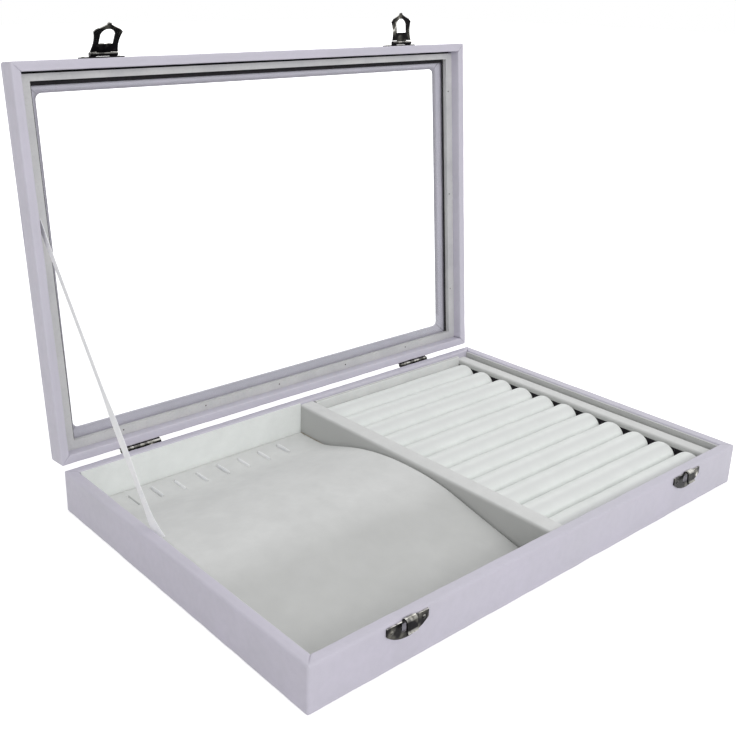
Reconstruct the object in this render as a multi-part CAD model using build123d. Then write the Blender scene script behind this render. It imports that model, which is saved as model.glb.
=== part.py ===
from build123d import *
import math
import os

# Ring display box: a shallow leatherette case with a glazed, hinged lid.
# Millimetres, +Z up, +X along the long side. The origin is the centre of the underside.
# The lid is built closed and then swung open about the hinge axis; the box rests with its lid open.

# Driving dimensions.
CASE_WIDTH = 350.0
CASE_DEPTH = 232.4
BASE_HEIGHT = 26.0
BASE_WALL = 6.5
LID_HEIGHT = 14.0
LID_WALL = 5.5
RIM_GAP = 0.4
EDGE_RADIUS = 0.8
CORNER_RADIUS = 1.6
FREE_PLAY = 0.1
OPEN_ANGLE = 95.0

# Hinge axis, along X behind the back face at the height of the joint between lid and base.
HINGE_OFFSET = 1.6
HINGE_Y = CASE_DEPTH / 2 + HINGE_OFFSET
HINGE_Z = BASE_HEIGHT + RIM_GAP / 2
HINGE_X = {"left": -122.0, "right": 116.0}
HINGE_LENGTH = 28.0
KNUCKLES = 5
KNUCKLE_RADIUS = 1.3
KNUCKLE_GAP = 0.15
PIN_RADIUS = 0.6
PIN_PLAY = 0.05
LEAF_THICKNESS = 0.7
LEAF_HEIGHT = 11.5
FLANGE_THICKNESS = 0.7

# Floor of the case.
FELT = 0.5
BOTTOM_BOARD = 2.0
FLOOR_TOP = FELT + BOTTOM_BOARD

# Left compartment: liners, the arched pad and its ribbon tabs.
# The pad's top as (Y, Z): level under the tabs, an arch over the middle, low at the front.
LINER = 1.0
LINER_TOP = BASE_HEIGHT - 0.6
LINER_LOW_TOP = BASE_HEIGHT - 1.6
PAD_BOARD = 1.0
PAD_PLAY = 0.5
PAD_RIBBON_PLAY = 1.0
PAD_TOP = [
    (108.5, 4.8),
    (95.5, 4.7),
    (85.5, 4.9),
    (76.5, 6.6),
    (61.5, 11.6),
    (46.5, 16.3),
    (31.5, 19.6),
    (15.5, 21.5),
    (-0.5, 22.2),
    (-16.5, 21.7),
    (-32.5, 19.8),
    (-51.5, 15.3),
    (-78.5, 9.0),
    (-92.5, 6.1),
    (-108.5, 4.6),
]
TABS = 8
TAB_PITCH = 16.2
TAB_FIRST_X = -142.5
TAB_CENTRE_Y = 93.3
TAB_LENGTH = 13.0
TAB_THICKNESS = 0.6
TAB_TOP = 6.6
SLIT_WIDTH = 1.5

# Ring tray: boards on a thin floor, and the rolls between them.
DIVIDER_X = -1.5
DIVIDER_WIDTH = 12.5
TRAY_TOP = 24.2
TRAY_FLOOR = 1.5
TRAY_RIGHT_GAP = 2.2
TRAY_RIGHT_BOARD = 10.3
TRAY_RIGHT_TOP = 21.6
TRAY_BACK_BOARD = 3.0
TRAY_FRONT_BOARD = 1.0
TRAY_FRONT_TOP = 20.0
SIDE_BOARD_EDGE = 2.2
BACK_BOARD_EDGE = 1.2
FRONT_BOARD_EDGE = 0.4
ROLLS = 11
ROLL_TOP = 21.0
ROLL_GAP = 0.2
ROLL_END_RADIUS = {"left": 2.0, "right": 4.5}
ROLL_FOOT_BEVEL = 2.5

# Lid, closed: walls, top board with the window opening, glass and the strips that hold it.
TOP_BOARD = 2.0
WINDOW_MARGIN = {"front": 17.5, "back": 17.3, "left": 15.6, "right": 20.0}
WINDOW_CORNER = 3.8
GLASS = 1.5
GLASS_PLAY = 0.2
STRIP_WIDTH = {"front": 4.0, "back": 4.3, "left": 5.9, "right": 5.9}
STRIP_GAP = {"front": 1.3, "back": 1.3, "left": 1.3, "right": 0.0}
STRIP_DEPTH = 7.2

# Hasps on the lid's front, and the keepers on the base's front.
LATCH_X = {"left": -116.0, "right": 119.0}
HASP_REST = {"left": 35.0, "right": 0.0}
HASP_PLATE_WIDTH = 28.0
HASP_PLATE_THICKNESS = 0.7
HASP_PLATE_BOTTOM = 34.3
HASP_PLATE_TOP = 39.6
HASP_AXIS_OFFSET = 2.1
HASP_KNUCKLE_RADIUS = 1.25
HASP_KNUCKLE_HALF = 4.2
HASP_PIN_RADIUS = 0.55
HASP_THICKNESS = 0.8
HASP_LENGTH = 20.3
HASP_BASE_HALF = 8.8
HASP_WAIST_HALF = 7.9
HASP_SHOULDER_HALF = 9.2
HASP_SHOULDER = 14.4
HASP_WINDOW_HALF = 4.6
HASP_WINDOW_START = 6.9
HASP_WINDOW_END = 16.3
KEEPER_WIDTH = 27.0
KEEPER_THICKNESS = 0.9
KEEPER_TOP = 24.5
KEEPER_SIDE_BOTTOM = 20.2
KEEPER_BOTTOM = 14.9
TONGUE_WIDTH = 6.8
TONGUE_SLOT = 7.8
TONGUE_SLOT_TOP = 23.5
TONGUE_SLOT_BOTTOM = 18.4

# Small nails with domed heads.
NAIL_HEAD_RADIUS = 1.15
NAIL_DOME = 0.35
NAIL_SHANK = 0.45
NAIL_LENGTH = 5.0
NAIL_PLAY = 0.01

# Ribbon stay: where it is sewn to the base and to the closed lid (Y, Z), and its section.
RIBBON_X = -167.2
RIBBON_BASE = (21.9, 21.8)
RIBBON_LID = (-29.3, 33.3)
RIBBON_WIDTH = 6.0
RIBBON_THICKNESS = 0.4

# Worked out from the above.
HALF_W = CASE_WIDTH / 2
HALF_D = CASE_DEPTH / 2
FRONT_Y = -HALF_D
INNER_W = HALF_W - BASE_WALL
INNER_D = HALF_D - BASE_WALL
LID_BOTTOM = BASE_HEIGHT + RIM_GAP
LID_TOP = LID_BOTTOM + LID_HEIGHT
LID_BOARD_Z = LID_TOP - TOP_BOARD
LID_INNER_W = HALF_W - LID_WALL
LID_INNER_D = HALF_D - LID_WALL
PAD_BOTTOM = FLOOR_TOP + PAD_BOARD
TRAY_BOTTOM = FLOOR_TOP + TRAY_FLOOR
HASP_Y = FRONT_Y - HASP_AXIS_OFFSET
HASP_Z = HASP_PLATE_BOTTOM
HINGE_AXIS = Axis((0, HINGE_Y, HINGE_Z), (1, 0, 0))

os.makedirs("parts", exist_ok=True)


def write(node, shape):
    """Writes one sub-part to its own file."""
    export_step(shape, f"parts/{node}.step")


def block(x0, x1, y0, y1, z0, z1):
    """A box between two corners."""
    size = (x1 - x0, y1 - y0, z1 - z0)
    return Pos((x0 + x1) / 2, (y0 + y1) / 2, (z0 + z1) / 2) * Box(*size)


def bar(x0, x1, y, z, radius):
    """A round bar along X."""
    middle = Pos((x0 + x1) / 2, y, z)
    return middle * Rot(0, 90, 0) * Cylinder(radius, x1 - x0)


def opened(shape):
    """Swings a piece of the closed lid to where it stands with the lid open."""
    return shape.rotate(HINGE_AXIS, -OPEN_ANGLE)


def nail(x, y, z, outward):
    """A nail across a plate whose outer face is at y; outward is +1 or -1 along Y."""
    dome_radius = (NAIL_HEAD_RADIUS**2 + NAIL_DOME**2) / (2 * NAIL_DOME)
    dome = Pos(0, 0, NAIL_DOME - dome_radius) * Sphere(dome_radius)
    head = dome & Pos(0, 0, NAIL_DOME / 2) * Cylinder(NAIL_HEAD_RADIUS, NAIL_DOME)
    shank = Pos(0, 0, -NAIL_LENGTH / 2) * Cylinder(NAIL_SHANK, NAIL_LENGTH)
    return Pos(x, y, z) * Rot(-90 * outward, 0, 0) * (head + shank)


def nail_hole(x, y, z):
    """The hole that a nail fills, long enough to cross a plate and its wall."""
    return Pos(x, y, z) * Rot(90, 0, 0) * Cylinder(NAIL_SHANK + NAIL_PLAY, 2 * NAIL_LENGTH)


# Nail places: across each piece of hardware, measured from its middle.
KEEPER_NAIL_X = (-10.4, 10.4)
KEEPER_NAIL_Z = 21.2
HASP_NAIL_X = (-11.4, 11.4)
HASP_NAIL_Z = 37.2
LEAF_NAIL_X = (-10.5, 0.0, 10.5)
LEAF_NAIL_DROP = 8.2
BASE_LEAF_NAIL_Z = HINGE_Z - LEAF_NAIL_DROP
LID_LEAF_NAIL_Z = HINGE_Z + LEAF_NAIL_DROP
FRONT_BASE_NAILS = [(x + d, KEEPER_NAIL_Z) for x in LATCH_X.values() for d in KEEPER_NAIL_X]
FRONT_LID_NAILS = [(x + d, HASP_NAIL_Z) for x in LATCH_X.values() for d in HASP_NAIL_X]
BACK_BASE_NAILS = [(x + d, BASE_LEAF_NAIL_Z) for x in HINGE_X.values() for d in LEAF_NAIL_X]
BACK_LID_NAILS = [(x + d, LID_LEAF_NAIL_Z) for x in HINGE_X.values() for d in LEAF_NAIL_X]


def drilled(shape, places, y):
    """A piece with its nail holes, at places (x, z) on the face at y."""
    for x, z in places:
        shape -= nail_hole(x, y, z)
    return shape


def mitre_wedges(wall, z0, z1):
    """Four prisms that meet on the corners' mitre planes, one for each wall of a frame."""
    inner_w = HALF_W - wall
    inner_d = HALF_D - wall
    outlines = {
        "front": [(-HALF_W, -HALF_D), (HALF_W, -HALF_D), (inner_w, -inner_d), (-inner_w, -inner_d)],
        "back": [(-HALF_W, HALF_D), (-inner_w, inner_d), (inner_w, inner_d), (HALF_W, HALF_D)],
        "left": [(-HALF_W, -HALF_D), (-inner_w, -inner_d), (-inner_w, inner_d), (-HALF_W, HALF_D)],
        "right": [(HALF_W, -HALF_D), (HALF_W, HALF_D), (inner_w, inner_d), (inner_w, -inner_d)],
    }
    wedges = {}
    for side, corners in outlines.items():
        outline = make_face(Polyline(*corners, close=True))
        wedges[side] = Pos(0, 0, z0) * extrude(outline, z1 - z0)
    return wedges


def rounded_block(height, z0):
    """The outside of the case: upright corners rounded, and the rim's edges softened."""
    solid = block(-HALF_W, HALF_W, -HALF_D, HALF_D, z0, z0 + height)
    return fillet(solid.edges().filter_by(Axis.Z), CORNER_RADIUS)


# Base walls: a ring with a softened rim, parted at the mitres.
base_ring = rounded_block(BASE_HEIGHT, 0)
base_ring = fillet(base_ring.edges().group_by(Axis.Z)[-1], EDGE_RADIUS)
base_ring -= block(-INNER_W, INNER_W, -INNER_D, INNER_D, -1, BASE_HEIGHT + 1)
for side, wedge in mitre_wedges(BASE_WALL, 0, BASE_HEIGHT).items():
    wall = base_ring & wedge
    if side == "front":
        wall = drilled(wall, FRONT_BASE_NAILS, FRONT_Y)
    if side == "back":
        wall = drilled(wall, BACK_BASE_NAILS, HALF_D)
    write(f"case_{side}_wall", wall)

# Floor: a felt sheet under the board that closes the case.
floor_w = INNER_W - FREE_PLAY
floor_d = INNER_D - FREE_PLAY
write("bottom_cover", block(-floor_w, floor_w, -floor_d, floor_d, 0, FELT))
write("bottom_board", block(-floor_w, floor_w, -floor_d, floor_d, FELT, FLOOR_TOP))

# Liners of the left compartment: velvet-covered cards that stand on the floor.
liner_x0 = -INNER_W + LINER
liner_x1 = DIVIDER_X - FREE_PLAY
liner_y = INNER_D - LINER
write("liner_left", block(-INNER_W, liner_x0, -INNER_D, INNER_D, FLOOR_TOP, LINER_LOW_TOP))
write("liner_back", block(liner_x0, liner_x1, liner_y, INNER_D, FLOOR_TOP, LINER_TOP))
write("liner_front", block(liner_x0, liner_x1, -INNER_D, -liner_y, FLOOR_TOP, LINER_LOW_TOP))

# Bracelet pad: a card, and a thick pad arched from back to front with a row of slits.
pad_x0 = liner_x0 + PAD_RIBBON_PLAY
pad_x1 = DIVIDER_X - PAD_PLAY
pad_y1 = PAD_TOP[0][0]
tab_x = [TAB_FIRST_X + TAB_PITCH * n for n in range(TABS)]
pad_section = make_face(
    Polyline(PAD_TOP[0], (pad_y1, PAD_BOTTOM), (-pad_y1, PAD_BOTTOM), PAD_TOP[-1]) + Spline(*PAD_TOP)
)
pad = Pos(pad_x0, 0, 0) * extrude(Plane.YZ * pad_section, pad_x1 - pad_x0)
for x in tab_x:
    pad -= Pos(x, TAB_CENTRE_Y, PAD_BOTTOM) * Box(SLIT_WIDTH, TAB_LENGTH + 1, 6.0)
write("pad_board", block(pad_x0, pad_x1, -pad_y1, pad_y1, FLOOR_TOP, PAD_BOTTOM))
write("bracelet_pad", pad)

# Ribbon tabs: a folded ribbon standing against the right side of each slit.
tab_height = TAB_TOP - PAD_BOTTOM
tab = Pos(0, TAB_CENTRE_Y, PAD_BOTTOM + tab_height / 2) * Box(TAB_THICKNESS, TAB_LENGTH, tab_height)
tab = fillet(tab.edges().filter_by(Axis.X).group_by(Axis.Z)[-1], 1.0)
tab_shift = (SLIT_WIDTH - TAB_THICKNESS) / 2 - FREE_PLAY
write("pad_tabs", Compound([Pos(x + tab_shift, 0, 0) * tab for x in tab_x]))

# Ring tray: floor and four velvet-covered boards with soft top edges.
tray_x0 = DIVIDER_X
tray_x1 = INNER_W - TRAY_RIGHT_GAP
right_board_x = tray_x1 - TRAY_RIGHT_BOARD
divider_x1 = DIVIDER_X + DIVIDER_WIDTH
tray_y0 = -INNER_D + FREE_PLAY
tray_y1 = INNER_D - FREE_PLAY
back_board_y = tray_y1 - TRAY_BACK_BOARD
front_board_y = tray_y0 + TRAY_FRONT_BOARD
write("tray_floor", block(tray_x0, tray_x1, tray_y0, tray_y1, FLOOR_TOP, TRAY_BOTTOM))


def soft_board(x0, x1, y0, y1, top, radius, axis):
    """A board whose two long top edges, along the given axis, are rounded by its padding."""
    board = block(x0, x1, y0, y1, TRAY_BOTTOM, top)
    return fillet(board.edges().filter_by(axis).group_by(Axis.Z)[-1], radius)


inside_x0 = divider_x1 + FREE_PLAY
inside_x1 = right_board_x - FREE_PLAY
sides_y = (tray_y0, tray_y1)
back_y = (back_board_y, tray_y1)
front_y = (tray_y0, front_board_y)
boards = {
    "left": ((tray_x0, divider_x1), sides_y, TRAY_TOP, SIDE_BOARD_EDGE, Axis.Y),
    "right": ((right_board_x, tray_x1), sides_y, TRAY_RIGHT_TOP, SIDE_BOARD_EDGE, Axis.Y),
    "back": ((inside_x0, inside_x1), back_y, TRAY_TOP, BACK_BOARD_EDGE, Axis.X),
    "front": ((inside_x0, inside_x1), front_y, TRAY_FRONT_TOP, FRONT_BOARD_EDGE, Axis.X),
}
for side, (span_x, span_y, top, edge, axis) in boards.items():
    write(f"tray_{side}_board", soft_board(*span_x, *span_y, top, edge, axis))

# Ring rolls: foam bars side by side, with half-round tops and soft ends.
roll_pitch = (back_board_y - front_board_y) / ROLLS
roll_radius = (roll_pitch - ROLL_GAP) / 2
roll_z = ROLL_TOP - roll_radius
roll_x0 = inside_x0 + ROLL_GAP
roll_x1 = inside_x1 - ROLL_GAP
foot_half = roll_radius - ROLL_FOOT_BEVEL
foot_z = TRAY_BOTTOM + ROLL_FOOT_BEVEL
roll_section = make_face(
    Polyline(
        (-roll_radius, roll_z),
        (-roll_radius, foot_z),
        (-foot_half, TRAY_BOTTOM),
        (foot_half, TRAY_BOTTOM),
        (roll_radius, foot_z),
        (roll_radius, roll_z),
    )
    + ThreePointArc((roll_radius, roll_z), (0, ROLL_TOP), (-roll_radius, roll_z))
)
roll = Pos(roll_x0, 0, 0) * extrude(Plane.YZ * roll_section, roll_x1 - roll_x0)
roll = fillet(roll.edges().filter_by(GeomType.CIRCLE).sort_by(Axis.X)[0], ROLL_END_RADIUS["left"])
roll = fillet(roll.edges().filter_by(GeomType.CIRCLE).sort_by(Axis.X)[-1], ROLL_END_RADIUS["right"])
for n in range(ROLLS):
    centre_y = front_board_y + roll_pitch * (n + 0.5)
    write(f"ring_roll_{n + 1:02d}", Pos(0, centre_y, 0) * roll)

# Lid: the closed shell, parted into mitred walls and the top board with its window.
lid_shell = rounded_block(LID_HEIGHT, LID_BOTTOM)
lid_shell = fillet(lid_shell.edges().group_by(Axis.Z)[-1], EDGE_RADIUS)
lid_shell = fillet(lid_shell.edges().group_by(Axis.Z)[0], EDGE_RADIUS)
lid_ring = lid_shell - block(-LID_INNER_W, LID_INNER_W, -LID_INNER_D, LID_INNER_D, 0, LID_TOP + 1)
for side, wedge in mitre_wedges(LID_WALL, LID_BOTTOM, LID_BOARD_Z).items():
    wall = lid_ring & wedge
    if side == "front":
        wall = drilled(wall, FRONT_LID_NAILS, FRONT_Y)
    if side == "back":
        wall = drilled(wall, BACK_LID_NAILS, HALF_D)
    write(f"lid_{side}_wall", opened(wall))
top_board = lid_shell & block(-HALF_W, HALF_W, -HALF_D, HALF_D, LID_BOARD_Z, LID_TOP)
window_x0 = WINDOW_MARGIN["left"] - HALF_W
window_x1 = HALF_W - WINDOW_MARGIN["right"]
window_y0 = WINDOW_MARGIN["front"] - HALF_D
window_y1 = HALF_D - WINDOW_MARGIN["back"]
window = RectangleRounded(window_x1 - window_x0, window_y1 - window_y0, WINDOW_CORNER)
window_place = Pos((window_x0 + window_x1) / 2, (window_y0 + window_y1) / 2, LID_BOARD_Z - 1)
top_board -= window_place * extrude(window, TOP_BOARD + 2)
write("lid_top_frame", opened(top_board))

# Glass, and the four strips that hold it against the top board.
glass_w = LID_INNER_W - GLASS_PLAY
glass_d = LID_INNER_D - GLASS_PLAY
glass_z = LID_BOARD_Z - GLASS
write("glass_pane", opened(block(-glass_w, glass_w, -glass_d, glass_d, glass_z, LID_BOARD_Z)))
strip_z = LID_BOTTOM + STRIP_DEPTH
strip_x0 = STRIP_GAP["left"] - LID_INNER_W
strip_x1 = LID_INNER_W - STRIP_GAP["right"]
strip_y0 = STRIP_GAP["front"] - LID_INNER_D
strip_y1 = LID_INNER_D - STRIP_GAP["back"]
between_y0 = strip_y0 + STRIP_WIDTH["front"]
between_y1 = strip_y1 - STRIP_WIDTH["back"]
strips = {
    "front": (-LID_INNER_W, LID_INNER_W, strip_y0, between_y0),
    "back": (-LID_INNER_W, LID_INNER_W, between_y1, strip_y1),
    "left": (strip_x0, strip_x0 + STRIP_WIDTH["left"], between_y0, between_y1),
    "right": (strip_x1 - STRIP_WIDTH["right"], strip_x1, between_y0, between_y1),
}
for side, sides in strips.items():
    write(f"glass_strip_{side}", opened(block(*sides, strip_z, glass_z)))

# Hinges: two leaves with five knuckles between them, on one pin.
knuckle_length = HINGE_LENGTH / KNUCKLES


def hinge_leaf(x, up, first):
    """A leaf on the back face and every second knuckle from first; up: +1 on the lid, -1 on the base."""
    near = HINGE_Z + up * (RIM_GAP / 2 + 0.8)
    far = near + up * LEAF_HEIGHT
    low, high = sorted((near, far))
    x0 = x - HINGE_LENGTH / 2
    x1 = x + HINGE_LENGTH / 2
    leaf = block(x0, x1, HALF_D, HALF_D + LEAF_THICKNESS, low, high)
    hole = PIN_RADIUS + (PIN_PLAY if up > 0 else NAIL_PLAY)
    for n in range(first, KNUCKLES, 2):
        k0 = x0 + n * knuckle_length + KNUCKLE_GAP / 2
        k1 = k0 + knuckle_length - KNUCKLE_GAP
        inner = HINGE_Z + up * (KNUCKLE_RADIUS - FLANGE_THICKNESS)
        outer = HINGE_Z + up * KNUCKLE_RADIUS
        flange_low, flange_high = sorted((inner, outer))
        flange = block(k0, k1, HALF_D, HINGE_Y, flange_low, flange_high)
        leaf += flange + bar(k0, k1, HINGE_Y, HINGE_Z, KNUCKLE_RADIUS)
    leaf -= bar(x0 - 1, x1 + 1, HINGE_Y, HINGE_Z, hole)
    for d in LEAF_NAIL_X:
        leaf -= nail_hole(x + d, HALF_D, HINGE_Z + up * LEAF_NAIL_DROP)
    return leaf


for side, x in HINGE_X.items():
    write(f"hinge_base_leaf_{side}", hinge_leaf(x, -1, 0))
    write(f"hinge_lid_leaf_{side}", opened(hinge_leaf(x, 1, 1)))
    pin_half = HINGE_LENGTH / 2
    write(f"hinge_pin_{side}", bar(x - pin_half, x + pin_half, HINGE_Y, HINGE_Z, PIN_RADIUS))
leaf_face = HALF_D + LEAF_THICKNESS
write("hinge_base_nails", Compound([nail(x, leaf_face, z, 1) for x, z in BACK_BASE_NAILS]))
write("hinge_lid_nails", opened(Compound([nail(x, leaf_face, z, 1) for x, z in BACK_LID_NAILS])))

# Keepers: a D plate with its middle strip bent out into a hooked tongue.
keeper_half = KEEPER_WIDTH / 2
side_left = (-keeper_half, KEEPER_SIDE_BOTTOM)
side_right = (keeper_half, KEEPER_SIDE_BOTTOM)
keeper_outline = make_face(
    Polyline(side_left, (-keeper_half, KEEPER_TOP), (keeper_half, KEEPER_TOP), side_right)
    + ThreePointArc(side_right, (0, KEEPER_BOTTOM), side_left)
)
keeper_plate = Pos(0, FRONT_Y, 0) * extrude(Plane.XZ * keeper_outline, KEEPER_THICKNESS)
slot_half = TONGUE_SLOT / 2
keeper_plate -= block(-slot_half, slot_half, FRONT_Y - 2, FRONT_Y, TONGUE_SLOT_BOTTOM, TONGUE_SLOT_TOP)
# The tongue's centre line, as distance in front of the case and height.
tongue_line = Wire([
    Line((0.45, 23.7), (0.6, 24.6)),
    ThreePointArc((0.6, 24.6), (1.9, 26.1), (3.3, 25.0)),
    Line((3.3, 25.0), (3.6, 21.2)),
    ThreePointArc((3.6, 21.2), (3.85, 20.0), (4.5, 19.0)),
])
tongue_section = trace(tongue_line, line_width=KEEPER_THICKNESS)
tongue = Rot(90, 0, 0) * extrude(tongue_section, TONGUE_WIDTH / 2, both=True)
tongue = Pos(0, FRONT_Y, 0) * Rot(0, 0, -90) * tongue
keeper = keeper_plate + tongue
for d in KEEPER_NAIL_X:
    keeper -= nail_hole(d, FRONT_Y, KEEPER_NAIL_Z)
for side, x in LATCH_X.items():
    write(f"keeper_{side}", Pos(x, 0, 0) * keeper)
keeper_face = FRONT_Y - KEEPER_THICKNESS
write("keeper_nails", Compound([nail(x, keeper_face, z, -1) for x, z in FRONT_BASE_NAILS]))

# Hasp plates: a narrow plate on the lid's front with a knuckle at each side of the hasp's own.
plate_face = FRONT_Y - HASP_PLATE_THICKNESS
plate_half = HASP_PLATE_WIDTH / 2
hasp_plate = block(-plate_half, plate_half, plate_face, FRONT_Y, HASP_PLATE_BOTTOM, HASP_PLATE_TOP)
hasp_plate = fillet(hasp_plate.edges().filter_by(Axis.Y), 1.2)
for mirror_x in (-1, 1):
    k0, k1 = sorted((mirror_x * (HASP_KNUCKLE_HALF + KNUCKLE_GAP), mirror_x * HASP_BASE_HALF))
    hasp_plate += bar(k0, k1, HASP_Y, HASP_Z, HASP_KNUCKLE_RADIUS)
    hasp_plate += block(k0, k1, HASP_Y, FRONT_Y, HASP_Z + 0.5, HASP_Z + HASP_KNUCKLE_RADIUS)
hasp_plate -= bar(-plate_half, plate_half, HASP_Y, HASP_Z, HASP_PIN_RADIUS + NAIL_PLAY)
for d in HASP_NAIL_X:
    hasp_plate -= nail_hole(d, FRONT_Y, HASP_NAIL_Z)
hasp_pin = bar(-HASP_BASE_HALF, HASP_BASE_HALF, HASP_Y, HASP_Z, HASP_PIN_RADIUS)

# Hasps: an ogee outline with a small nub at the tip and an arched window, drawn pointing down -Y.
shoulder_in = HASP_SHOULDER_HALF - 1.6
nub = 1.3
hasp_start = HASP_KNUCKLE_RADIUS + 0.35
arch_start = HASP_WINDOW_END - HASP_WINDOW_HALF + 1.0
tip_flank = HASP_LENGTH - 1.3


def hasp_side(sign):
    """One flank of the hasp from its base to the nub, on the side given by sign."""
    base = (sign * HASP_BASE_HALF, -hasp_start)
    shoulder = (sign * HASP_SHOULDER_HALF, -HASP_SHOULDER)
    shoulder_top = (sign * shoulder_in, -HASP_SHOULDER - 1.7)
    flank = (sign * nub, -tip_flank)
    flank_middle = (sign * (shoulder_in + nub) / 2, -(HASP_SHOULDER + 1.7 + tip_flank) / 2 + 0.15)
    return [
        ThreePointArc(base, (sign * HASP_WAIST_HALF, -(hasp_start + HASP_SHOULDER) / 2), shoulder),
        Line(shoulder, shoulder_top),
        ThreePointArc(shoulder_top, flank_middle, flank),
    ]


hasp_edges = hasp_side(1) + hasp_side(-1)
hasp_edges.append(ThreePointArc((nub, -tip_flank), (0, -HASP_LENGTH), (-nub, -tip_flank)))
hasp_edges.append(Line((-HASP_BASE_HALF, -hasp_start), (HASP_BASE_HALF, -hasp_start)))
hasp_face = make_face(Wire(hasp_edges))
arch_right = (HASP_WINDOW_HALF, -arch_start)
arch_left = (-HASP_WINDOW_HALF, -arch_start)
sill_right = (HASP_WINDOW_HALF, -HASP_WINDOW_START)
sill_left = (-HASP_WINDOW_HALF, -HASP_WINDOW_START)
hasp_face -= make_face(
    Polyline(arch_left, sill_left, sill_right, arch_right)
    + ThreePointArc(arch_right, (0, -HASP_WINDOW_END), arch_left)
)
hasp = extrude(hasp_face, HASP_THICKNESS / 2, both=True)
neck_half = HASP_KNUCKLE_HALF
hasp += block(-neck_half, neck_half, -hasp_start - 0.5, 0, -HASP_THICKNESS / 2, HASP_THICKNESS / 2)
hasp += bar(-neck_half, neck_half, 0, 0, HASP_KNUCKLE_RADIUS)
hasp -= bar(-plate_half, plate_half, 0, 0, HASP_PIN_RADIUS + PIN_PLAY)

for side, x in LATCH_X.items():
    place = Pos(x, 0, 0)
    write(f"hasp_plate_{side}", opened(place * hasp_plate))
    write(f"hasp_pin_{side}", opened(place * hasp_pin))
    write(f"hasp_{side}", opened(Pos(x, HASP_Y, HASP_Z) * Rot(HASP_REST[side], 0, 0) * hasp))
write("hasp_plate_nails", opened(Compound([nail(x, plate_face, z, -1) for x, z in FRONT_LID_NAILS])))

# Ribbon stay: a flat ribbon, taut between the base's left liner and the open lid's left strip,
# and cut off where it meets that strip.
lid_dy = RIBBON_LID[0] - HINGE_Y
lid_dz = RIBBON_LID[1] - HINGE_Z
swing = math.radians(OPEN_ANGLE)
ribbon_end_y = HINGE_Y + lid_dy * math.cos(swing) + lid_dz * math.sin(swing)
ribbon_end_z = HINGE_Z - lid_dy * math.sin(swing) + lid_dz * math.cos(swing)
run_y = ribbon_end_y - RIBBON_BASE[0]
run_z = ribbon_end_z - RIBBON_BASE[1]
ribbon_length = math.hypot(run_y, run_z)
ribbon_lean = math.degrees(math.atan2(run_z, run_y))
ribbon_cut = ribbon_length + RIBBON_WIDTH
ribbon = Pos(0, ribbon_cut / 2, 0) * Box(RIBBON_THICKNESS, ribbon_cut, RIBBON_WIDTH)
ribbon = Pos(RIBBON_X, RIBBON_BASE[0], RIBBON_BASE[1]) * Rot(ribbon_lean, 0, 0) * ribbon
ribbon -= opened(block(-HALF_W, 0, -HALF_D, HALF_D, strip_z - FREE_PLAY, LID_TOP))
write("ribbon_stay", ribbon)
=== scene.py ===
import math

import bmesh
import bpy
import numpy as np
from mathutils import Matrix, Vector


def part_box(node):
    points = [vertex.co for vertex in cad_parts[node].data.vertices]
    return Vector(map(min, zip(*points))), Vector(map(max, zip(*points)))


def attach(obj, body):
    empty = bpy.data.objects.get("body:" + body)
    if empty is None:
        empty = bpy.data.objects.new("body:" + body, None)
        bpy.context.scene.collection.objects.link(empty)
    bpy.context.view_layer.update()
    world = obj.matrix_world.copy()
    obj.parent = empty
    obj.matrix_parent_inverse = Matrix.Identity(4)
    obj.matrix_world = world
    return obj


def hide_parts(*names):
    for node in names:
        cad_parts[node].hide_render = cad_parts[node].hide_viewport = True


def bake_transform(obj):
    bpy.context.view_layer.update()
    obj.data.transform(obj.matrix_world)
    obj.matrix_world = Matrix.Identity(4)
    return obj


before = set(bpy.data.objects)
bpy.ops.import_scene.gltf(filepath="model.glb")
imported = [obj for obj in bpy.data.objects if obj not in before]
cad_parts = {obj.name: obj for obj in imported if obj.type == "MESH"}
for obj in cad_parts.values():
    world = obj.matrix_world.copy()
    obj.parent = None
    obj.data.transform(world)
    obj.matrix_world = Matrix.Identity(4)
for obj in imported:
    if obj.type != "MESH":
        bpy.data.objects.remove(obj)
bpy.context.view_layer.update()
scene = bpy.context.scene
MM = 0.001

# The camera stands in front of the box's left end, a little above the open lid's top edge.
# Its place, turn and lens frame the whole case with the lid raised.
FRAME_SIDE = 736
FOCAL_LENGTH = 1000.0
OPTICAL_CENTRE = (335.0, 345.0)
SENSOR_WIDTH = 36.0
CAMERA_PLACE = (-0.3975, -0.3924, 0.3025)
camera_turn, camera_dip, camera_tilt = np.radians([40.39, 20.08, -0.86])
ahead = np.array([
    math.sin(camera_turn) * math.cos(camera_dip),
    math.cos(camera_turn) * math.cos(camera_dip),
    -math.sin(camera_dip),
])
level_right = np.array([math.cos(camera_turn), -math.sin(camera_turn), 0.0])
level_up = np.cross(level_right, ahead)
camera_right = level_right * math.cos(camera_tilt) - level_up * math.sin(camera_tilt)
camera_up = np.cross(camera_right, ahead)
camera = bpy.data.objects.new("camera", bpy.data.cameras.new("camera"))
scene.collection.objects.link(camera)
camera.data.sensor_width = SENSOR_WIDTH
camera.data.lens = FOCAL_LENGTH / FRAME_SIDE * SENSOR_WIDTH
camera.data.shift_x = (FRAME_SIDE / 2 - OPTICAL_CENTRE[0]) / FRAME_SIDE
camera.data.shift_y = (OPTICAL_CENTRE[1] - FRAME_SIDE / 2) / FRAME_SIDE
camera.data.clip_start = 0.01
camera.data.clip_end = 20.0
camera_rows = np.eye(4)
camera_rows[:3, :3] = np.stack([camera_right, camera_up, -ahead], axis=1)
camera_rows[:3, 3] = CAMERA_PLACE
camera.matrix_world = Matrix(camera_rows.tolist())
scene.camera = camera


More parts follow.
